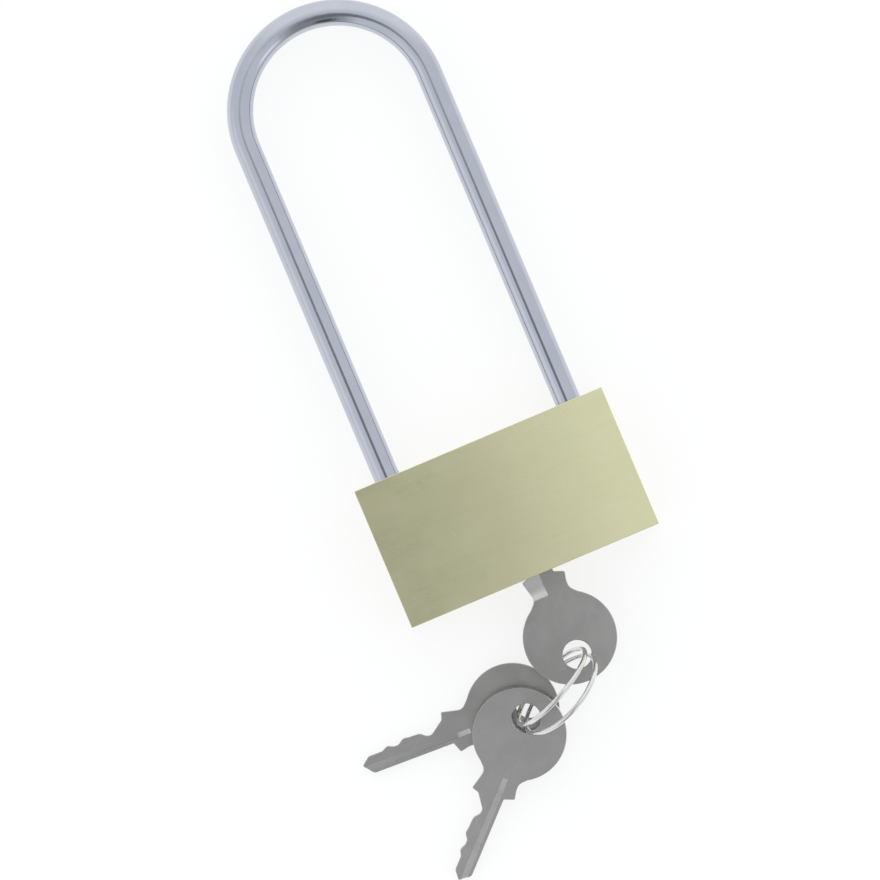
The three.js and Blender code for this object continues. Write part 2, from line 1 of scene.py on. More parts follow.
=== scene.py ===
"""A brass padlock with a long chromed shackle, a key in its cylinder and two spare keys on a wire ring.

+X is to the right, +Y points from the key side to the shackle and +Z comes out of the front face.
The lock lies on its back. Lengths in the tables below are in millimetres and are turned into metres
where a piece is made.
"""

import json
import math

import bpy
from mathutils import Matrix, Vector


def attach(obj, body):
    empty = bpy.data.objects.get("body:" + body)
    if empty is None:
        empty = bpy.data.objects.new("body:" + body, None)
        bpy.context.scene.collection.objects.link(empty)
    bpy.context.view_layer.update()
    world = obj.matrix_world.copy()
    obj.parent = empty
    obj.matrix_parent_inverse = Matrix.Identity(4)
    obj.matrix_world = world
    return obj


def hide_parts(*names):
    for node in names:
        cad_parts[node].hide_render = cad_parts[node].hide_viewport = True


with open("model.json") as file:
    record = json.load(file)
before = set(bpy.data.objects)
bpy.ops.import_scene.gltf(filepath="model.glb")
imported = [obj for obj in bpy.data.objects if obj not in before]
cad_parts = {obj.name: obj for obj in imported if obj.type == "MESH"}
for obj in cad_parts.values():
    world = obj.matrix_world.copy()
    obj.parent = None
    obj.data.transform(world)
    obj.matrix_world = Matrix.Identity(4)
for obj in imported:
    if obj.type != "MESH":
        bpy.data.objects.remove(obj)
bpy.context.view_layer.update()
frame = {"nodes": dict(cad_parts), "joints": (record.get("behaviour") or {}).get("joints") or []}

MM = 0.001

# ---- Sizes of the lock, in millimetres and degrees, from the middle of its back face ----
OVERCUT = 1.0  # how far a cutter reaches past what it cuts
SAME_SPOT = 0.001  # points nearer than this are one

BODY_WIDTH = 50.0
BODY_HEIGHT = 27.6
BODY_THICKNESS = 13.0
BODY_EDGE = 0.12
MID = BODY_THICKNESS / 2
TOP = BODY_HEIGHT / 2
BOTTOM = -BODY_HEIGHT / 2
LEFT = -BODY_WIDTH / 2

BAR = 2.5  # radius, as every bore and pin below
LEG_HOLE = 2.6
HEEL_HOLE_FLOOR = -12.0
TOE_HOLE_SPARE = 0.6  # room under the toe
TOE_X = -18.4
HEEL_X = 18.4
ARCH_Y = 80.6
TOE_TIP = 3.0
TOE_CHAMFER = 0.6
TOE_NOTCH = (4.75, 10.9)  # from and to, in Y, as the two grooves below
TOE_NOTCH_DEPTH = 1.15
HEEL_END = -6.3
HEEL_GROOVE = (-4.1, 10.1)
HEEL_GROOVE_RADIUS = 1.85
GROOVE_EDGE = 0.15
HEEL_STEP = 0.1
SHARP_RING = 0.3  # a short ring of faces that keeps the long bar's shading straight

PLUG_X = 1.5
PLUG_RADIUS = 4.75
PLUG_BORE = 4.85
PLUG_END = 5.4
PLUG_CHAMFER = 0.2
PLUG_GROOVE = (1.6, 3.2)
PLUG_GROOVE_RADIUS = 3.85
GROOVE_WALL = 0.02
PLUG_HOLE_ENDS = (-6.0, -0.6)  # in X, from the plug's middle
KEYWAY_LENGTH = 17.2
CAM_PIN = (-0.5, 8.5)  # X and Z
CAM_PIN_BORE = 1.05
CAM_PIN_SEAT = 1.9
CAM_ROOM = 4.62  # length of the bore past the plug, where the cam pin turns
BOLT_Y = 8.6
BOLT_BORE = 2.6
BOLT_CAP = (2.55, 3.0)  # radius and length
FIRST_PIN = 3.0  # from the bottom face
PIN_PITCH = 3.3
PIN_PLACES = [BOTTOM + FIRST_PIN + PIN_PITCH * i for i in range(4)]
PIN_BORE = 1.3
PIN_CAP = (1.25, 9.5)  # radius and length
RETAINING_Y = 2.4
RETAINING_BORE = 0.75
RETAINING_PIN = 0.7
RETAINING_PIN_ENDS = (2.45, 0.1)  # in Z
MOUTH = 0.12  # chamfer of the large bores
SMALL_MOUTH = 0.05

KEY_HALF = 0.85
BOW_RADIUS = 8.86
BOW_HOLE = 2.7
BOW_HOLE_OFFSET = 3.45
KEY_BOW_Y = -27.1
KEY_POINT = 30.2
KEY_EDGE = 0.15
FIRST_CUT = 16.3  # from the bow's middle
CUT_DEPTHS = (1.03, 2.06, 1.42, 1.35)  # from the key's axis to each cut's floor
CUT_HALF_FLAT = 0.45
PEAKS = (1.97, 2.25, 1.97)
MILL_SIDES = (-9.0, -0.7)  # from and to, in X
GROOVE_SIDES = (0.4, 1.3)
MILL_DEPTH = 0.55
MILL_START = 8.7
MILL_CUTTER = 8.2

RING_RADIUS = 9.1
WIRE = 0.47  # radius
RING_HEADING = 206.3
RING_LEAN = 17.0
RING_TABLE_GAP = 0.45
RING_SIDE_GAP = 1.35
RING_TOP_SPREAD = 1.05
RING_END_ANGLE = 40
RING_PLAY = (0.85, 0.35)  # of the wire in the first key's hole, along the ring and across it
LOWER_KEY_RISE = 2.05  # at its ring hole
SPARE_HEADINGS = {"spare_key_1": 177.8, "spare_key_2": 224.65}


# ---- Working by hand ----
def mm(*values):
    """A place or a move given in millimetres."""
    return Vector(values) * MM


def only(piece):
    """Makes a piece the one selected and active object."""
    bpy.ops.object.select_all(action="DESELECT")
    piece.select_set(True)
    bpy.context.view_layer.objects.active = piece


def named(name):
    """Names the primitive that was just added and lays its place into its mesh."""
    piece = bpy.context.active_object
    piece.name = name
    piece.data.name = name
    bpy.ops.object.transform_apply(location=True, rotation=True, scale=True)
    return piece


def pick(piece, kind, test):
    """Goes into edit mode with the vertices, edges or faces selected that pass a test of their place."""
    only(piece)
    bpy.ops.object.mode_set(mode="EDIT")
    bpy.ops.mesh.select_mode(type=kind)
    bpy.ops.mesh.select_all(action="DESELECT")
    bpy.ops.object.mode_set(mode="OBJECT")
    mesh = piece.data
    if kind == "VERT":
        for vertex in mesh.vertices:
            vertex.select = test(vertex.co / MM)
    elif kind == "EDGE":
        for edge in mesh.edges:
            ends = [mesh.vertices[i].co / MM for i in edge.vertices]
            edge.select = test(*ends)
    else:
        for face in mesh.polygons:
            face.select = test(face.center / MM, face.normal)
    bpy.ops.object.mode_set(mode="EDIT")


def close_mesh(piece, angle=30):
    """Merges what lies on one spot, turns every face outwards and smooths all but the real edges.

    The large faces keep their own direction right up to the rounded edges.
    """
    only(piece)
    bpy.ops.object.mode_set(mode="EDIT")
    bpy.ops.mesh.select_all(action="SELECT")
    bpy.ops.mesh.remove_doubles(threshold=0.002 * MM)
    bpy.ops.mesh.normals_make_consistent(inside=False)
    bpy.ops.object.mode_set(mode="OBJECT")
    bpy.ops.object.shade_smooth_by_angle(angle=math.radians(angle))
    bpy.ops.object.modifier_add(type="WEIGHTED_NORMAL")
    modifier = piece.modifiers[-1]
    modifier.keep_sharp = True
    bpy.ops.object.modifier_apply(modifier=modifier.name)
    return piece


def grow_face(move, scale, centre):
    """Pulls the selected end face out by a move and scales it about a centre, both in millimetres."""
    bpy.ops.mesh.extrude_region_move(TRANSFORM_OT_translate={"value": mm(*move)})
    if scale != 1:
        bpy.ops.transform.resize(value=(scale, scale, scale), center_override=mm(*centre))


TURN_TO = {"X": (0, math.pi / 2, 0), "Y": (-math.pi / 2, 0, 0), "Z": (0, 0, 0)}
AXES = {"X": Vector((1, 0, 0)), "Y": Vector((0, 1, 0)), "Z": Vector((0, 0, 1))}


def rod(name, radius, start, end, axis, sides=64):
    """A closed round bar between two points along one axis."""
    middle = [(a + b) / 2 for a, b in zip(start, end)]
    length = sum(abs(b - a) for a, b in zip(start, end))
    bpy.ops.object.select_all(action="DESELECT")
    bpy.ops.mesh.primitive_cylinder_add(
        vertices=sides, radius=radius * MM, depth=length * MM, location=mm(*middle), rotation=TURN_TO[axis]
    )
    return named(name)


def drill(name, radius, inner, mouth, axis, flare, sides=64):
    """A cutter for a bore whose mouth has a small chamfer."""
    direction = AXES[axis] * (1 if sum(mouth) > sum(inner) else -1)
    step = direction * flare
    neck = Vector(mouth) - step
    cutter = rod(name, radius, inner, neck, axis, sides)
    pick(cutter, "FACE", lambda place, normal: normal.dot(direction) > 0.9 and (place - neck).length < 0.01)
    grow_face(step, (radius + flare) / radius, mouth)
    grow_face(direction, 1, mouth)
    bpy.ops.object.mode_set(mode="OBJECT")
    return cutter


def box(name, low, high):
    """A plain block between two corners, used as a cutter."""
    bpy.ops.object.select_all(action="DESELECT")
    middle = [(a + b) / 2 for a, b in zip(low, high)]
    size = [b - a for a, b in zip(low, high)]
    bpy.ops.mesh.primitive_cube_add(size=1, location=mm(*middle), scale=mm(*size))
    return named(name)


def cut_away(piece, tool):
    """Cuts a tool out of a piece and throws the tool away."""
    only(piece)
    bpy.ops.object.modifier_add(type="BOOLEAN")
    modifier = piece.modifiers[-1]
    modifier.operation = "DIFFERENCE"
    modifier.solver = "MANIFOLD"
    modifier.object = tool
    bpy.ops.object.modifier_apply(modifier=modifier.name)
    bpy.data.objects.remove(tool, do_unlink=True)


def place_of_joint(name):
    """A joint's place in millimetres, and its axis."""
    joint = next(joint for joint in frame["joints"] if joint["name"] == name)
    return Vector(joint["pos_m"]) / MM, Vector(joint["axis"])


# ---- Finishes: what several of them share ----
class Board:
    """A node tree with short ways to add a node, join sockets and do sums."""

    def __init__(self, tree):
        self.tree = tree

    def node(self, kind, settings=None, **inputs):
        """Adds a node with its settings and its inputs, a blank in an input's label written as _."""
        made = self.tree.nodes.new(kind)
        for key, value in (settings or {}).items():
            setattr(made, key, value)
        for label, value in inputs.items():
            self.feed(made.inputs[label.replace("_", " ")], value)
        return made

    def feed(self, socket, value):
        """Links an output to a socket, or writes a plain value into it."""
        if isinstance(value, bpy.types.NodeSocket):
            self.tree.links.new(value, socket)
        else:
            socket.default_value = value

    def sum(self, operation, *values):
        made = self.tree.nodes.new("ShaderNodeMath")
        made.operation = operation
        for socket, value in zip(made.inputs, values):
            self.feed(socket, value)
        return made.outputs[0]

    def vector(self, operation, *values, out=0):
        made = self.tree.nodes.new("ShaderNodeVectorMath")
        made.operation = operation
        for socket, value in zip(made.inputs, values):
            self.feed(socket, value)
        return made.outputs[out]

    def spread(self, value, start, end):
        """A soft step from 0 at the start to 1 at the end, which may be the lower of the two."""
        made = self.node("ShaderNodeMapRange", {"interpolation_type": "SMOOTHSTEP"},
                         Value=value, From_Min=start, From_Max=end)
        return made.outputs["Result"]

    def blend(self, mask, first, second):
        made = self.tree.nodes.new("ShaderNodeMix")
        made.data_type = "RGBA"
        self.feed(made.inputs["Factor"], mask)
        self.feed(made.inputs["A"], first)
        self.feed(made.inputs["B"], second)
        return made.outputs["Result"]

    def noise(self, place, scale, detail=2.0, roughness=0.5):
        made = self.node("ShaderNodeTexNoise", Scale=scale, Detail=detail, Roughness=roughness)
        self.tree.links.new(place, made.inputs["Vector"])
        return made.outputs["Fac"]


def new_group(name, inputs, outputs):
    """A shared effect with named inputs and outputs."""
    tree = bpy.data.node_groups.new(name, "ShaderNodeTree")
    kinds = {float: "NodeSocketFloat", tuple: "NodeSocketVector"}
    for label, default in inputs.items():
        socket = tree.interface.new_socket(label, in_out="INPUT", socket_type=kinds[type(default)])
        socket.default_value = default
    for label in outputs:
        tree.interface.new_socket(label, in_out="OUTPUT", socket_type="NodeSocketFloat")
    board = Board(tree)
    ends = tree.nodes.new("NodeGroupInput").outputs, tree.nodes.new("NodeGroupOutput").inputs
    return tree, board, *ends


def brushed_group():
    """Fine straight brushing. Stretch is small along the brushing and large across it."""
    tree, board, given, result = new_group(
        "straight_brushing", {"Place": (0.0, 0.0, 0.0), "Stretch": (60.0, 9000.0, 9000.0)}, ["Lines", "Bands"]
    )
    stretched = board.vector("MULTIPLY", given["Place"], given["Stretch"])
    fine = board.noise(stretched, 1.0, 3.0, 0.65)
    slow = board.vector("MULTIPLY", stretched, (0.5, 0.09, 0.09))
    board.feed(result["Lines"], board.spread(fine, 0.25, 0.75))
    board.feed(result["Bands"], board.spread(board.noise(slow, 1.0, 2.0, 0.5), 0.3, 0.7))
    return tree


def scratch_group():
    """Sparse hairline scratches in three directions, and the small dull patches of handling."""
    tree, board, given, result = new_group(
        "handling_marks", {"Place": (0.0, 0.0, 0.0), "Scale": 500.0}, ["Scratches", "Patches"]
    )
    found = None
    for turn, seed in ((0.35, 3.1), (1.2, 11.7), (2.3, 23.9)):
        turned = board.node("ShaderNodeVectorRotate", {"rotation_type": "Z_AXIS"},
                            Vector=given["Place"], Angle=turn)
        scaled = board.vector("SCALE", turned.outputs[0])
        board.feed(scaled.node.inputs["Scale"], given["Scale"])
        drawn = board.vector("MULTIPLY", scaled, (0.05, 3.0, 3.0))
        drawn = board.vector("ADD", drawn, (seed, seed, seed))
        line = board.spread(board.noise(drawn, 1.0, 2.0, 0.5), 0.69, 0.76)
        found = line if found is None else board.sum("MAXIMUM", found, line)
    board.feed(result["Scratches"], found)
    scaled = board.vector("SCALE", given["Place"])
    board.feed(scaled.node.inputs["Scale"], given["Scale"])
    patches = board.noise(board.vector("MULTIPLY", scaled, (0.3, 0.3, 0.3)), 1.0, 4.0, 0.6)
    board.feed(result["Patches"], board.spread(patches, 0.3, 0.7))
    return tree


def edge_group():
    """A mask that is strong where the surface turns over an edge, broken up as real rubbing is. The finishes
    use it for wear in the roughness and for painted light in the colour: painted shade on the case's edges, a
    painted highlight on the keys' edges.
    """
    tree, board, given, result = new_group(
        "edge_wear_and_painted_light", {"Place": (0.0, 0.0, 0.0), "Radius": 0.0004, "Breakup": 900.0}, ["Rubbed"]
    )
    round_over = board.node("ShaderNodeBevel", {"samples": 6}, Radius=given["Radius"])
    surface = board.node("ShaderNodeNewGeometry")
    turned = board.vector("DOT_PRODUCT", round_over.outputs[0], surface.outputs["Normal"], out=1)
    edge = board.spread(turned, 0.995, 0.9)
    broken = board.node("ShaderNodeTexNoise", Detail=3.0)
    board.feed(broken.inputs["Vector"], given["Place"])
    board.feed(broken.inputs["Scale"], given["Breakup"])
    board.feed(result["Rubbed"], board.sum("MULTIPLY", edge, board.spread(broken.outputs["Fac"], 0.3, 0.65)))
    return tree


GROUPS = {"brushing": brushed_group(), "marks": scratch_group(), "edges": edge_group()}


class Finish(Board):
    """A metal finish: one Principled shader and the shared effects that feed it."""

    def __init__(self, name):
        material = bpy.data.materials.new(name)
        material.use_nodes = True
        super().__init__(material.node_tree)
        self.material = material
        self.shader = material.node_tree.nodes["Principled BSDF"]
        self.shader.inputs["Metallic"].default_value = 1.0
        self.place = self.node("ShaderNodeTexCoord").outputs["Object"]

    def own_place(self, attribute):
        self.place = self.node("ShaderNodeAttribute", {"attribute_name": attribute}).outputs["Vector"]

    def effect(self, name, **inputs):
        made = self.tree.nodes.new("ShaderNodeGroup")
        made.node_tree = GROUPS[name]
        self.feed(made.inputs["Place"], self.place)
        for label, value in inputs.items():
            self.feed(made.inputs[label], value)
        return made.outputs

    def colour(self, value):
        self.feed(self.shader.inputs["Base Color"], value)

    def rough(self, value):
        self.feed(self.shader.inputs["Roughness"], value)

    def raised(self, height, depth):
        """A fine relief. Depth is what a height of 1 stands for, in metres."""
        bump = self.node("ShaderNodeBump", Strength=1.0, Distance=depth, Height=height)
        self.feed(self.shader.inputs["Normal"], bump.outputs["Normal"])


# ---- The finishes ----
def satin_brass():
    """Pale linished brass: brushed along the case, with soft clouds from handling, and edges that are rougher
    and darkened with painted shade.
    """
    finish = Finish("satin_brass_case")
    brushing = finish.effect("brushing", Stretch=(120.0, 11000.0, 11000.0))
    marks = finish.effect("marks", Scale=420.0)
    edges = finish.effect("edges", Radius=0.0003, Breakup=1300.0)
    clouds = finish.spread(finish.noise(finish.place, 95.0, 3.0, 0.55), 0.3, 0.7)
    tone = finish.blend(clouds, (0.720, 0.708, 0.448, 1), (0.744, 0.728, 0.472, 1))
    tone = finish.blend(finish.sum("MULTIPLY", brushing["Bands"], 0.35), tone, (0.696, 0.680, 0.424, 1))
    tone = finish.blend(finish.sum("MULTIPLY", marks["Scratches"], 0.12), tone, (0.760, 0.752, 0.560, 1))
    # Painted shade: the rounded edges of the case are darkened in colour, which dims the bright reflection
    # along them.
    tone = finish.blend(finish.sum("MULTIPLY", edges["Rubbed"], 0.6), tone, (0.528, 0.504, 0.288, 1))
    finish.colour(tone)
    rough = finish.sum("MULTIPLY_ADD", brushing["Lines"], 0.03, 0.262)
    rough = finish.sum("MULTIPLY_ADD", marks["Patches"], 0.025, rough)
    rough = finish.sum("MULTIPLY_ADD", marks["Scratches"], 0.02, rough)
    finish.rough(finish.sum("MULTIPLY_ADD", edges["Rubbed"], 0.12, rough))
    finish.raised(finish.sum("MULTIPLY_ADD", marks["Scratches"], -0.2, brushing["Lines"]), 0.0000004)
    return finish.material


def polished_chrome():
    """Bright chrome over drawn steel: a slight ripple along the bar, hairlines and faint haze."""
    finish = Finish("polished_chrome_bar")
    marks = finish.effect("marks", Scale=650.0)
    brushing = finish.effect("brushing", Stretch=(3500.0, 160.0, 3500.0))
    haze = finish.spread(finish.noise(finish.place, 160.0, 3.0, 0.6), 0.35, 0.75)
    tone = finish.blend(haze, (0.446, 0.463, 0.518, 1), (0.422, 0.441, 0.499, 1))
    tone = finish.blend(finish.sum("MULTIPLY", marks["Scratches"], 0.3), tone, (0.560, 0.568, 0.592, 1))
    finish.colour(tone)
    rough = finish.sum("MULTIPLY_ADD", haze, 0.035, 0.085)
    rough = finish.sum("MULTIPLY_ADD", marks["Scratches"], 0.12, rough)
    finish.rough(finish.sum("MULTIPLY_ADD", brushing["Lines"], 0.03, rough))
    ripple = finish.noise(finish.place, 520.0, 2.0, 0.5)
    ripple = finish.sum("MULTIPLY_ADD", brushing["Lines"], 0.05, ripple)
    finish.raised(ripple, 0.000012)
    return finish.material


def tumbled_nickel():
    """Nickel-plated key stock: tumbled satin flats, smoother rubbed edges and smoother mills, both lightened
    in colour as a painted highlight, the mills most on the front.
    """
    finish = Finish("tumbled_nickel_keys")
    finish.own_place("key_place")
    marks = finish.effect("marks", Scale=700.0)
    edges = finish.effect("edges", Radius=0.00028, Breakup=1500.0)
    brushing = finish.effect("brushing", Stretch=(9000.0, 260.0, 9000.0))
    grain = finish.noise(finish.place, 5200.0, 2.0, 0.6)
    clouds = finish.spread(finish.noise(finish.place, 190.0, 3.0, 0.6), 0.3, 0.7)
    tone = finish.blend(clouds, (0.352, 0.347, 0.330, 1), (0.384, 0.379, 0.362, 1))
    tone = finish.blend(finish.sum("MULTIPLY", brushing["Bands"], 0.3), tone, (0.328, 0.323, 0.307, 1))
    tone = finish.blend(finish.sum("MULTIPLY", marks["Scratches"], 0.15), tone, (0.592, 0.588, 0.568, 1))
    # Painted highlight: the milled faces are lightened in colour, more on the front mill than on the back
    # groove; their lower roughness is the smooth cut.
    depth = finish.node("ShaderNodeSeparateXYZ", Vector=finish.place).outputs["Z"]
    deep_from, deep_to = ((KEY_HALF - below) * MM for below in (0.02, 0.06))
    cut = finish.spread(finish.sum("ABSOLUTE", depth), deep_from, deep_to)
    front = finish.sum("GREATER_THAN", depth, 0.0)
    mill_painted_highlight = finish.sum("MULTIPLY", cut, finish.sum("MULTIPLY_ADD", front, 0.8, 0.2))
    tone = finish.blend(mill_painted_highlight, tone, (0.620, 0.612, 0.600, 1))
    # Painted highlight: the keys' edges are lightened in colour; their lower roughness below is the rubbing.
    finish.colour(finish.blend(finish.sum("MULTIPLY", edges["Rubbed"], 0.45), tone, (0.624, 0.620, 0.608, 1)))
    rough = finish.sum("MULTIPLY_ADD", grain, 0.10, 0.28)
    rough = finish.sum("MULTIPLY_ADD", marks["Patches"], 0.06, rough)
    rough = finish.sum("MULTIPLY_ADD", cut, -0.12, rough)
    finish.rough(finish.sum("MULTIPLY_ADD", edges["Rubbed"], -0.12, rough))
    height = finish.sum("MULTIPLY_ADD", brushing["Lines"], 0.35, grain)
    finish.raised(finish.sum("MULTIPLY_ADD", marks["Scratches"], -0.5, height), 0.0000022)
    return finish.material


def bright_wire():
    """Bright drawn spring wire."""
    finish = Finish("bright_spring_wire")
    marks = finish.effect("marks", Scale=1400.0)
    grain = finish.noise(finish.place, 2600.0, 2.0, 0.5)
    finish.colour(finish.blend(marks["Patches"], (0.592, 0.592, 0.600, 1), (0.656, 0.656, 0.656, 1)))
    rough = finish.sum("MULTIPLY_ADD", grain, 0.06, 0.12)
    finish.rough(finish.sum("MULTIPLY_ADD", marks["Scratches"], 0.15, rough))
    finish.raised(grain, 0.000003)
    return finish.material


def turned_metal(name, bright, dark, roughness):
    """Lathe-turned stock: fine rings round the cylinder's axis, tool marks and handling marks."""
    finish = Finish(name)
    centred = finish.node("ShaderNodeMapping", {"vector_type": "POINT"}, Vector=finish.place,
                          Location=(-PLUG_X * MM, 0.0, -MID * MM))
    flat = finish.vector("MULTIPLY", centred.outputs[0], (1.0, 0.0, 1.0))
    distance = finish.vector("LENGTH", flat, out=1)
    steps = finish.node("ShaderNodeTexNoise", {"noise_dimensions": "1D"},
                        W=distance, Scale=7000.0, Detail=2.0)
    rings = finish.spread(steps.outputs["Fac"], 0.3, 0.7)
    marks = finish.effect("marks", Scale=900.0)
    tone = finish.blend(rings, bright, dark)
    finish.colour(finish.blend(finish.sum("MULTIPLY", marks["Patches"], 0.4), tone, bright))
    rough = finish.sum("MULTIPLY_ADD", marks["Scratches"], 0.1, roughness)
    finish.rough(finish.sum("MULTIPLY_ADD", rings, 0.12, rough))
    finish.raised(rings, 0.0000045)
    return finish.material


FINISHES = {
    "body_brass": satin_brass(),
    "shackle_chrome": polished_chrome(),
    "key_nickel": tumbled_nickel(),
    "ring_steel": bright_wire(),
    "turned_brass": turned_metal(
        "turned_brass_cylinder", (0.760, 0.610, 0.300, 1), (0.640, 0.490, 0.215, 1), 0.24
    ),
    "steel": turned_metal("plain_steel_parts", (0.560, 0.570, 0.580, 1), (0.430, 0.435, 0.445, 1), 0.26),
}


def hand_over(piece, body, slot, *nodes):
    """Gives a finished piece its finish and its moving body, and hides the solids that it stands for."""
    piece.data.materials.clear()
    piece.data.materials.append(FINISHES[slot])
    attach(piece, body)
    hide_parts(*nodes)


# ---- Case ----
def lock_case():
    """The block, with its edges rolled over, then drilled and with every mouth chamfered."""
    case = box("lock_case", (LEFT, BOTTOM, 0), (-LEFT, TOP, BODY_THICKNESS))
    pick(case, "EDGE", lambda a, b: True)
    bpy.ops.mesh.bevel(offset=BODY_EDGE * MM, segments=4, profile=0.5, affect="EDGES")
    bpy.ops.object.mode_set(mode="OBJECT")
    toe_floor = (TOE_X, TOE_TIP - TOE_HOLE_SPARE, MID)
    heel_floor = (HEEL_X, HEEL_HOLE_FLOOR, MID)
    plug_floor = (PLUG_X, PLUG_END + CAM_ROOM, MID)
    pin_ends = (PLUG_X, RETAINING_Y, MID - PLUG_RADIUS), (PLUG_X, RETAINING_Y, 0)
    drills = [
        drill("toe_hole", LEG_HOLE, toe_floor, (TOE_X, TOP, MID), "Y", MOUTH),
        drill("heel_hole", LEG_HOLE, heel_floor, (HEEL_X, TOP, MID), "Y", MOUTH),
        drill("plug_hole", PLUG_BORE, plug_floor, (PLUG_X, BOTTOM, MID), "Y", MOUTH, 96),
        drill("bolt_hole", BOLT_BORE, (HEEL_X, BOLT_Y, MID), (LEFT, BOLT_Y, MID), "X", SMALL_MOUTH),
        drill("retaining_hole", RETAINING_BORE, *pin_ends, "Z", SMALL_MOUTH, 32),
    ]
    for i, y in enumerate(PIN_PLACES):
        drills.append(drill(f"pin_hole_{i + 1}", PIN_BORE, (PLUG_X - PLUG_RADIUS, y, MID), (LEFT, y, MID),
                            "X", SMALL_MOUTH, 40))
    for tool in drills:
        cut_away(case, tool)
    return close_mesh(case)


def flush_plug(name, radius, inner, face, axis, dome=0.06, sides=48):
    """A pressed plug, finished flush with the case and with its rim just broken."""
    direction = (Vector(face) - Vector(inner)).normalized()
    plug = rod(name, radius, inner, Vector(face) - direction * dome, axis, sides)
    pick(plug, "FACE", lambda place, normal: normal.dot(direction) > 0.9)
    grow_face(direction * dome, (radius - 1.6 * dome) / radius, face)
    bpy.ops.object.mode_set(mode="OBJECT")
    return close_mesh(plug, 20)


# ---- Shackle ----
def long_shackle():
    """One round bar: a disc at the heel that runs up, is spun round the arch and runs down to the toe."""
    bpy.ops.object.select_all(action="DESELECT")
    bpy.ops.mesh.primitive_circle_add(
        vertices=72, radius=HEEL_GROOVE_RADIUS * MM, fill_type="NGON",
        location=mm(HEEL_X, HEEL_END, MID), rotation=(-math.pi / 2, 0, 0),
    )
    bar = named("long_shackle")
    pick(bar, "FACE", lambda place, normal: True)
    slope = BAR - HEEL_GROOVE_RADIUS
    low, high = HEEL_GROOVE
    grow_face((0, slope, 0), BAR / HEEL_GROOVE_RADIUS, (HEEL_X, HEEL_END + slope, MID))
    grow_face((0, low - HEEL_STEP - HEEL_END - slope, 0), 1, (HEEL_X, low, MID))
    grow_face((0, HEEL_STEP, 0), HEEL_GROOVE_RADIUS / BAR, (HEEL_X, low, MID))
    grow_face((0, high - low, 0), 1, (HEEL_X, high, MID))
    full = high + GROOVE_EDGE
    grow_face((0, GROOVE_EDGE, 0), BAR / HEEL_GROOVE_RADIUS, (HEEL_X, full, MID))
    grow_face((0, SHARP_RING, 0), 1, (HEEL_X, full + SHARP_RING, MID))
    grow_face((0, ARCH_Y - full - SHARP_RING, 0), 1, (HEEL_X, ARCH_Y, MID))
    bpy.ops.mesh.spin(steps=96, angle=-math.pi, center=mm(0, ARCH_Y, MID), axis=(0, 0, 1))
    grow_face((0, TOE_TIP + TOE_CHAMFER + SHARP_RING - ARCH_Y, 0), 1, (TOE_X, TOE_TIP, MID))
    grow_face((0, -SHARP_RING, 0), 1, (TOE_X, TOE_TIP, MID))
    shoulder = BAR - 0.15 * TOE_CHAMFER
    grow_face((0, -0.35 * TOE_CHAMFER, 0), shoulder / BAR, (TOE_X, TOE_TIP + 0.65 * TOE_CHAMFER, MID))
    grow_face((0, -0.65 * TOE_CHAMFER, 0), (BAR - TOE_CHAMFER) / shoulder, (TOE_X, TOE_TIP, MID))
    bpy.ops.object.mode_set(mode="OBJECT")
    close_mesh(bar)
    notch_side = TOE_X + BAR - TOE_NOTCH_DEPTH
    low, high = TOE_NOTCH
    cut_away(bar, box("toe_notch", (notch_side, low, 0), (notch_side + 2 * BAR, high, BODY_THICKNESS)))
    return close_mesh(bar)


# ---- Cylinder ----
# The keyway as four blocks round the plug's middle, each from its low X to its high X and the same in Z.
KEYWAY_STEPS = (
    (-3.28, 2.13, -0.43, 0.43),
    (MILL_SIDES[1] - 0.13, 2.13, 0.0, 0.98),
    (1.17, 2.13, -0.98, 0.0),
    (-3.28, 0.53, -0.98, 0.0),
)


def turned_plug():
    """The cylinder that the key turns: a turned plug with its keyway, pin holes and retaining groove."""
    low, high = PLUG_GROOVE
    rim = (PLUG_RADIUS - PLUG_CHAMFER) / PLUG_RADIUS
    plug = rod("turned_plug", PLUG_RADIUS, (PLUG_X, BOTTOM + PLUG_CHAMFER, MID), (PLUG_X, low, MID), "Y", 96)
    pick(plug, "FACE", lambda place, normal: normal.y < -0.9)
    grow_face((0, -PLUG_CHAMFER, 0), rim, (PLUG_X, BOTTOM, MID))
    bpy.ops.object.mode_set(mode="OBJECT")
    pick(plug, "FACE", lambda place, normal: normal.y > 0.9)
    narrow = PLUG_GROOVE_RADIUS / PLUG_RADIUS
    grow_face((0, GROOVE_WALL, 0), narrow, (PLUG_X, low, MID))
    grow_face((0, high - low - 2 * GROOVE_WALL, 0), 1, (PLUG_X, high, MID))
    grow_face((0, GROOVE_WALL, 0), 1 / narrow, (PLUG_X, high, MID))
    grow_face((0, PLUG_END - high - PLUG_CHAMFER, 0), 1, (PLUG_X, PLUG_END, MID))
    grow_face((0, PLUG_CHAMFER, 0), rim, (PLUG_X, PLUG_END, MID))
    bpy.ops.object.mode_set(mode="OBJECT")
    close_mesh(plug)
    for i, (x_low, x_high, z_low, z_high) in enumerate(KEYWAY_STEPS):
        low_corner = (PLUG_X + x_low, BOTTOM - OVERCUT, MID + z_low)
        high_corner = (PLUG_X + x_high, BOTTOM + KEYWAY_LENGTH, MID + z_high)
        cut_away(plug, box(f"keyway_{i + 1}", low_corner, high_corner))
    for i, y in enumerate(PIN_PLACES):
        hole_ends = [(PLUG_X + x, y, MID) for x in PLUG_HOLE_ENDS]
        cut_away(plug, rod(f"plug_pin_hole_{i + 1}", PIN_BORE, *hole_ends, "X", 32))
    cam_x, cam_z = CAM_PIN
    seat_ends = (cam_x, PLUG_END - CAM_PIN_SEAT, cam_z), (cam_x, PLUG_END + OVERCUT, cam_z)
    cut_away(plug, rod("cam_pin_seat", CAM_PIN_BORE, *seat_ends, "Y", 32))
    return close_mesh(plug)


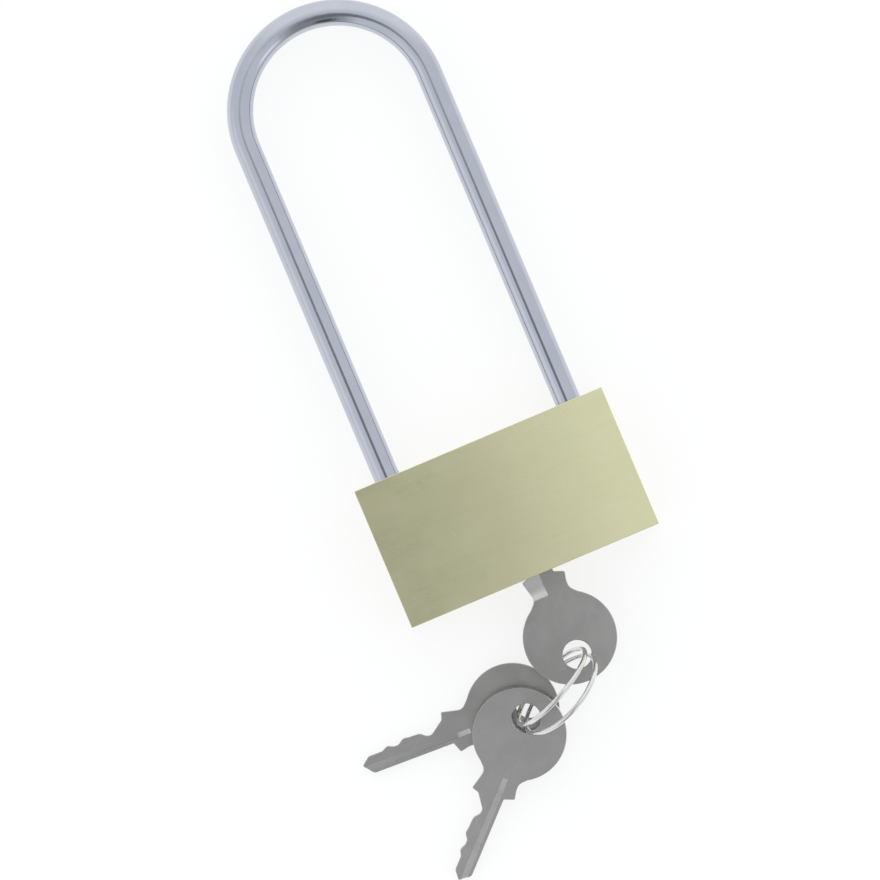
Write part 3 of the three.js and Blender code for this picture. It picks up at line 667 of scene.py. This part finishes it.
# ---- Keys ----
def rounded(corners, steps=5):
    """The points of an outline whose corners are rounded off by the length that each one gives."""
    points = []
    for i, (x, y, cut) in enumerate(corners):
        corner = Vector((x, y))
        if cut == 0:
            points.append(corner)
            continue
        before = Vector(corners[i - 1][:2]) - corner
        after = Vector(corners[i + 1][:2]) - corner
        start = corner + before.normalized() * min(cut, 0.45 * before.length)
        end = corner + after.normalized() * min(cut, 0.45 * after.length)
        for k in range(steps + 1):
            t = k / steps
            points.append(start * (1 - t) ** 2 + corner * 2 * t * (1 - t) + end * t * t)
    return points


def on_bow(x):
    """How far up the bow's edge lies at an X."""
    return math.sqrt(BOW_RADIUS ** 2 - x ** 2)


def key_outline():
    """From the bow up the spine side, round the point, back over the cuts and down to the bow.

    Each corner is an X, a Y and the length by which it is rounded off.
    """
    corners = [
        (4.75, on_bow(4.75), 0),
        (3.55, 8.75, 1.2),
        (3.55, 10.1, 0.6),
        (3.95, 11.85, 0.3),
        (2.0, 12.6, 0.2),
        (2.0, KEY_POINT - 1.7, 0.4),
        (0.0, KEY_POINT, 0.45),
        (-1.35, KEY_POINT - 1.7, 0.3),
    ]
    for i in range(3, -1, -1):
        y = FIRST_CUT + PIN_PITCH * i
        corners.append((-CUT_DEPTHS[i], y + CUT_HALF_FLAT, 0.3))
        corners.append((-CUT_DEPTHS[i], y - CUT_HALF_FLAT, 0.3))
        if i > 0:
            corners.append((-PEAKS[i - 1], y - PIN_PITCH / 2, 0.35))
    corners += [
        (-2.95, 13.2, 0.25),
        (-4.35, 12.8, 0.32),
        (-3.4, 8.85, 1.1),
        (-4.95, on_bow(4.95), 0),
    ]
    return rounded(corners)


def blank_key():
    """One key in its own place: bow centre at the origin, pointing along +Y, cuts towards -X."""
    bpy.ops.object.select_all(action="DESELECT")
    bpy.ops.mesh.primitive_circle_add(
        vertices=160, radius=BOW_RADIUS * MM, fill_type="NOTHING", location=mm(0, 0, -KEY_HALF)
    )
    key = named("key_pattern")
    outline = key_outline()
    first, last = outline[0], outline[-1]
    pick(key, "VERT", lambda p: p.y > 0 and last.x - 0.05 < p.x < first.x + 0.05)
    bpy.ops.mesh.delete(type="VERT")
    bpy.ops.object.mode_set(mode="OBJECT")
    upper = [vertex.co / MM for vertex in key.data.vertices if vertex.co.y > 0]
    spine_end = max((place for place in upper if place.x > 0), key=lambda place: place.y)
    cut_end = max((place for place in upper if place.x < 0), key=lambda place: place.y)
    pick(key, "VERT", lambda p: (p - spine_end).length < SAME_SPOT)
    here = spine_end.to_2d()
    for point in outline:
        step = point - here
        bpy.ops.mesh.extrude_vertices_move(TRANSFORM_OT_translate={"value": mm(step.x, step.y, 0)})
        here = point
    bpy.ops.object.mode_set(mode="OBJECT")
    pick(key, "VERT", lambda p: min((p.to_2d() - here).length, (p - cut_end).length) < SAME_SPOT)
    bpy.ops.mesh.edge_face_add()
    bpy.ops.mesh.select_all(action="SELECT")
    bpy.ops.mesh.edge_face_add()
    bpy.ops.mesh.extrude_region_move(TRANSFORM_OT_translate={"value": mm(0, 0, 2 * KEY_HALF)})
    bpy.ops.mesh.select_all(action="SELECT")
    bpy.ops.mesh.normals_make_consistent(inside=False)
    bpy.ops.object.mode_set(mode="OBJECT")
    pick(key, "EDGE", lambda a, b: abs(a.z - b.z) < SAME_SPOT)
    bpy.ops.mesh.bevel(offset=KEY_EDGE * MM, segments=2, profile=0.5, affect="EDGES", clamp_overlap=False)
    bpy.ops.object.mode_set(mode="OBJECT")
    return key


def punch_and_mill(key):
    """The ring hole, broken at both faces, the wide mill on the front and the narrow groove on the back."""
    flat = KEY_HALF - KEY_EDGE
    hole = rod("ring_hole", BOW_HOLE, (0, -BOW_HOLE_OFFSET, -flat), (0, -BOW_HOLE_OFFSET, flat), "Z", 96)
    for side in (-1, 1):
        pick(hole, "FACE", lambda place, normal: normal.z * side > 0.9)
        face_centre = (0, -BOW_HOLE_OFFSET, KEY_HALF * side)
        grow_face((0, 0, KEY_EDGE * side), (BOW_HOLE + KEY_EDGE) / BOW_HOLE, face_centre)
        grow_face((0, 0, side), 1, (0, 0, 0))
        bpy.ops.object.mode_set(mode="OBJECT")
    cut_away(key, hole)
    floor = KEY_HALF - MILL_DEPTH
    run_out = math.sqrt(MILL_CUTTER ** 2 - (MILL_CUTTER - MILL_DEPTH) ** 2)
    level_from = MILL_START + run_out
    for name, side, low, high in (("wide_mill", 1, *MILL_SIDES), ("narrow_groove", -1, *GROOVE_SIDES)):
        wheel_z = side * (floor + MILL_CUTTER)
        ends = [(x, level_from, wheel_z) for x in (low, high)]
        cut_away(key, rod(name + "_wheel", MILL_CUTTER, *ends, "X", 256))
        depths = sorted((side * floor, side * (floor + 3)))
        cut_away(key, box(name, (low, level_from, depths[0]), (high, KEY_POINT + 5, depths[1])))
    return close_mesh(key)


def keep_own_place(key):
    """Writes each point's place on the key itself, so that its finish turns with the key."""
    places = [value for vertex in key.data.vertices for value in vertex.co]
    layer = key.data.attributes.new("key_place", "FLOAT_VECTOR", "POINT")
    layer.data.foreach_set("vector", places)


def cut_key(pattern, name, spine_side, pointing, bow_centre):
    """A copy of the pattern key, with its own mesh, laid in its place."""
    only(pattern)
    bpy.ops.object.duplicate(linked=False)
    key = bpy.context.active_object
    key.name = name
    key.data.name = name
    thickness = spine_side.cross(pointing)
    turn = Matrix((spine_side, pointing, thickness)).transposed().to_4x4()
    key.matrix_world = Matrix.Translation(bow_centre * MM) @ turn
    bpy.ops.object.transform_apply(location=True, rotation=True, scale=True)
    return key


def all_keys():
    """One pattern key, and a copy of it for each key's place."""
    pattern = punch_and_mill(blank_key())
    keep_own_place(pattern)
    keys = {}
    bow = Vector((PLUG_X, KEY_BOW_Y, MID))
    keys["key_in_lock"] = cut_key(pattern, "key_in_cylinder", Vector((1, 0, 0)), Vector((0, 1, 0)), bow)
    for node, heading in SPARE_HEADINGS.items():
        hole, upward = place_of_joint(node + "_swing")
        angle = math.radians(heading)
        spine_side = Vector((-math.sin(angle), math.cos(angle), 0))
        pointing = spine_side.cross(upward).normalized()
        keys[node] = cut_key(pattern, node.replace("spare_key", "loose_key"), spine_side, pointing,
                             hole + pointing * BOW_HOLE_OFFSET)
    bpy.data.objects.remove(pattern, do_unlink=True)
    return keys


# ---- Ring ----
def ring_route(steps=288):
    """The middle of the wire: two turns that cross over once and stand a little apart at the top."""
    heading, lean = math.radians(RING_HEADING), math.radians(RING_LEAN)
    along = Vector((math.cos(heading), math.sin(heading), 0))
    across = Vector((-math.sin(heading), math.cos(heading), 0))
    upward = across * math.sin(lean) + Vector((0, 0, 1)) * math.cos(lean)
    axis = along.cross(upward)
    centre_z = RING_RADIUS * math.cos(lean) + WIRE + RING_TABLE_GAP

    def at_height(z):
        rise = (z - centre_z) / math.cos(lean)
        return rise, math.sqrt(RING_RADIUS ** 2 - rise ** 2)

    key_rise, key_along = at_height(MID)
    hole = place_of_joint("ring_swing")[0]
    play_along, play_across = RING_PLAY
    centre = hole + along * (key_along - play_along) + across * play_across - upward * key_rise
    spare_rise, spare_along = at_height(LOWER_KEY_RISE + KEY_HALF)
    start_angle = math.atan2(key_rise, -key_along) + 2 * math.pi
    upper_arc = start_angle - math.atan2(spare_rise, spare_along)
    end_angle = math.radians(RING_END_ANGLE)
    whole = 2 * math.pi + upper_arc + 2 * end_angle
    half_spacing = BOW_HOLE - WIRE - RING_SIDE_GAP
    points = []
    for i in range(steps + 1):
        travel = whole * i / steps - end_angle
        angle = start_angle - travel
        crossing = min(max((travel - upper_arc) / (2 * math.pi - upper_arc), 0), 1)
        spread = half_spacing + RING_TOP_SPREAD * ((1 + math.sin(angle)) / 2) ** 2
        points.append(centre + along * RING_RADIUS * math.cos(angle) + upward * RING_RADIUS * math.sin(angle)
                      + axis * spread * math.cos(math.pi * crossing))
    return points


def wire_ring():
    """Round wire drawn along its route and made a mesh, with its two ends filled."""
    route = ring_route()
    curve = bpy.data.curves.new("wire_ring", "CURVE")
    curve.dimensions = "3D"
    curve.bevel_depth = WIRE * MM
    curve.bevel_resolution = 7
    curve.use_fill_caps = True
    spline = curve.splines.new("POLY")
    spline.points.add(len(route) - 1)
    for point, place in zip(spline.points, route):
        point.co = (*(place * MM), 1)
    ring = bpy.data.objects.new("wire_ring", curve)
    bpy.context.scene.collection.objects.link(ring)
    only(ring)
    bpy.ops.object.convert(target="MESH")
    ring = bpy.context.active_object
    close_mesh(ring, 50)
    return ring


# ---- All the pieces ----
hand_over(lock_case(), "case", "body_brass", "body")
cap_radius, cap_length = PIN_CAP
for i, y in enumerate(PIN_PLACES):
    plug = flush_plug(f"pin_bore_plug_{i + 1}", cap_radius, (LEFT + cap_length, y, MID), (LEFT, y, MID), "X")
    hand_over(plug, "case", "body_brass", f"chamber_plug_{i + 1}")
cap_radius, cap_length = BOLT_CAP
cap_ends = (LEFT + cap_length, BOLT_Y, MID), (LEFT, BOLT_Y, MID)
cap = flush_plug("bolt_bore_cap", cap_radius, *cap_ends, "X", 0.08, 64)
hand_over(cap, "case", "body_brass", "bolt_bore_plug")
pin_ends = [(PLUG_X, RETAINING_Y, z) for z in RETAINING_PIN_ENDS]
pin_end = flush_plug("retaining_pin_end", RETAINING_PIN, *pin_ends, "Z", 0.06, 32)
hand_over(pin_end, "case", "steel", "cylinder_retaining_pin")
hand_over(long_shackle(), "shackle_bar", "shackle_chrome", "shackle")
hand_over(turned_plug(), "plug", "turned_brass", "cylinder_plug")
keys = all_keys()
hand_over(keys["key_in_lock"], "plug", "key_nickel", "key_in_lock")
hand_over(keys["spare_key_1"], "spare_1", "key_nickel", "spare_key_1")
hand_over(keys["spare_key_2"], "spare_2", "key_nickel", "spare_key_2")
hand_over(wire_ring(), "ring", "ring_steel", "key_ring")

# The solids that no piece replaces, such as the lock's pins and springs, wear the same finishes.
for node in frame["nodes"].values():
    slot = node.data.materials[0].name.split(".")[0]
    node.data.materials[0] = FINISHES[slot]


# ---- Table, light and camera ----
def white_table():
    """A pale table that the camera and the metal see as white, with the soft shadow still on it."""
    bpy.ops.object.select_all(action="DESELECT")
    bpy.ops.mesh.primitive_plane_add(size=8, location=(0, 0, -0.00005))
    table = bpy.context.active_object
    table.name = "table"
    material = bpy.data.materials.new("white_table")
    material.use_nodes = True
    board = Board(material.node_tree)
    shader = material.node_tree.nodes["Principled BSDF"]
    shader.inputs["Base Color"].default_value = (0.24, 0.24, 0.24, 1)
    shader.inputs["Roughness"].default_value = 1.0
    shader.inputs["Specular IOR Level"].default_value = 0.0
    shader.inputs["Emission Color"].default_value = (1, 1, 1, 1)
    seen = board.node("ShaderNodeLightPath").outputs
    seen_glow, mirrored_glow = 0.78, 1.02
    direct = board.sum("MULTIPLY", seen["Is Camera Ray"], seen_glow)
    glow = board.sum("MULTIPLY_ADD", seen["Is Glossy Ray"], mirrored_glow, direct)
    board.feed(shader.inputs["Emission Strength"], glow)
    table.data.materials.append(material)


def studio():
    """A pale studio, bright beyond the shackle and to the left, and dim on the key side.

    Each patch gives the direction of its middle, how much it is narrowed along X, Y and Z, where it
    fades out, where it is full, and its tone.
    """
    world = bpy.data.worlds.new("studio")
    bpy.context.scene.world = world
    world.use_nodes = True
    board = Board(world.node_tree)
    background = world.node_tree.nodes["Background"]
    direction = board.node("ShaderNodeTexCoord").outputs["Generated"]
    apart = board.node("ShaderNodeSeparateXYZ", Vector=direction).outputs
    heading = board.vector("NORMALIZE", board.vector("MULTIPLY", direction, (1.0, 1.0, 0.0)))
    key_side, beyond_arch = (-0.14, -0.99, 0.0), (0.47, 0.88, 0.0)
    dim = board.spread(board.vector("DOT_PRODUCT", heading, key_side, out=1), 0.86, 0.985)
    dim = board.sum("MULTIPLY", dim, board.spread(apart["Y"], -0.08, -0.6))
    bright = board.spread(board.vector("DOT_PRODUCT", heading, beyond_arch, out=1), 0.45, 0.80)
    bright = board.sum("MULTIPLY", bright, board.spread(apart["Y"], 0.08, 0.6))
    room = board.blend(dim, (0.988, 1.013, 1.050, 1), (0.425, 0.438, 0.463, 1))
    room = board.blend(bright, room, (1.270, 1.277, 1.288, 1))
    patches = (
        ((-0.91, 0.0, 0.41), (1.0, 0.7, 1.0), 0.42, 0.05, (1.250, 1.260, 1.276, 1)),
        ((0.45, -0.78, 0.44), (1.0, 1.0, 1.0), 0.24, 0.08, (1.540, 1.550, 1.580, 1)),
        ((-0.24, -0.90, 0.37), (2.2, 1.0, 1.0), 0.36, 0.12, (0.120, 0.120, 0.140, 1)),
    )
    for centre, narrowing, outer, inner, colour in patches:
        away = board.vector("MULTIPLY", board.vector("SUBTRACT", direction, centre), narrowing)
        room = board.blend(board.spread(board.vector("LENGTH", away, out=1), outer, inner), room, colour)
    seen = board.node("ShaderNodeLightPath").outputs
    board.feed(background.inputs["Color"], board.blend(seen["Is Camera Ray"], room, (1, 1, 1, 1)))


def overhead_shade():
    """The dim, soft-edged card above the lock that its polished faces reflect, unseen by the camera."""
    bpy.ops.object.select_all(action="DESELECT")
    bpy.ops.mesh.primitive_plane_add(size=0.4, location=(-0.033, 0.0, 0.225))
    shade = bpy.context.active_object
    shade.name = "overhead_shade"
    material = bpy.data.materials.new("soft_dim_card")
    material.use_nodes = True
    board = Board(material.node_tree)
    place = board.node("ShaderNodeTexCoord").outputs["Object"]
    half_width, half_length = 0.060, 0.150
    oval = board.vector("MULTIPLY", place, (1 / half_width, 1 / half_length, 0.0))
    fading = board.spread(board.vector("LENGTH", oval, out=1), 1.0, 0.3)
    glow = board.node("ShaderNodeEmission", Color=(0.29, 0.29, 0.305, 1))
    mixed = board.node("ShaderNodeMixShader", Fac=fading)
    board.tree.links.new(board.node("ShaderNodeBsdfTransparent").outputs[0], mixed.inputs[1])
    board.tree.links.new(glow.outputs[0], mixed.inputs[2])
    board.tree.links.new(mixed.outputs[0], material.node_tree.nodes["Material Output"].inputs["Surface"])
    shade.data.materials.append(material)
    shade.visible_camera = False


def camera():
    """Straight above the front face, with a long lens, turned so that the lock lies aslant."""
    distance = 1.1
    field = 0.1648
    aim = (-0.0065, 0.0164)
    turn = math.radians(-22.94)
    sensor = 36
    bpy.ops.object.select_all(action="DESELECT")
    bpy.ops.object.camera_add(location=(*aim, MID * MM + distance), rotation=(0, 0, turn))
    seen_by = bpy.context.active_object
    seen_by.data.sensor_width = sensor
    seen_by.data.lens = sensor * distance / field
    seen_by.data.clip_end = 20
    bpy.context.scene.camera = seen_by


white_table()
studio()
overhead_shade()
camera()
bpy.context.scene.view_settings.view_transform = "Standard"
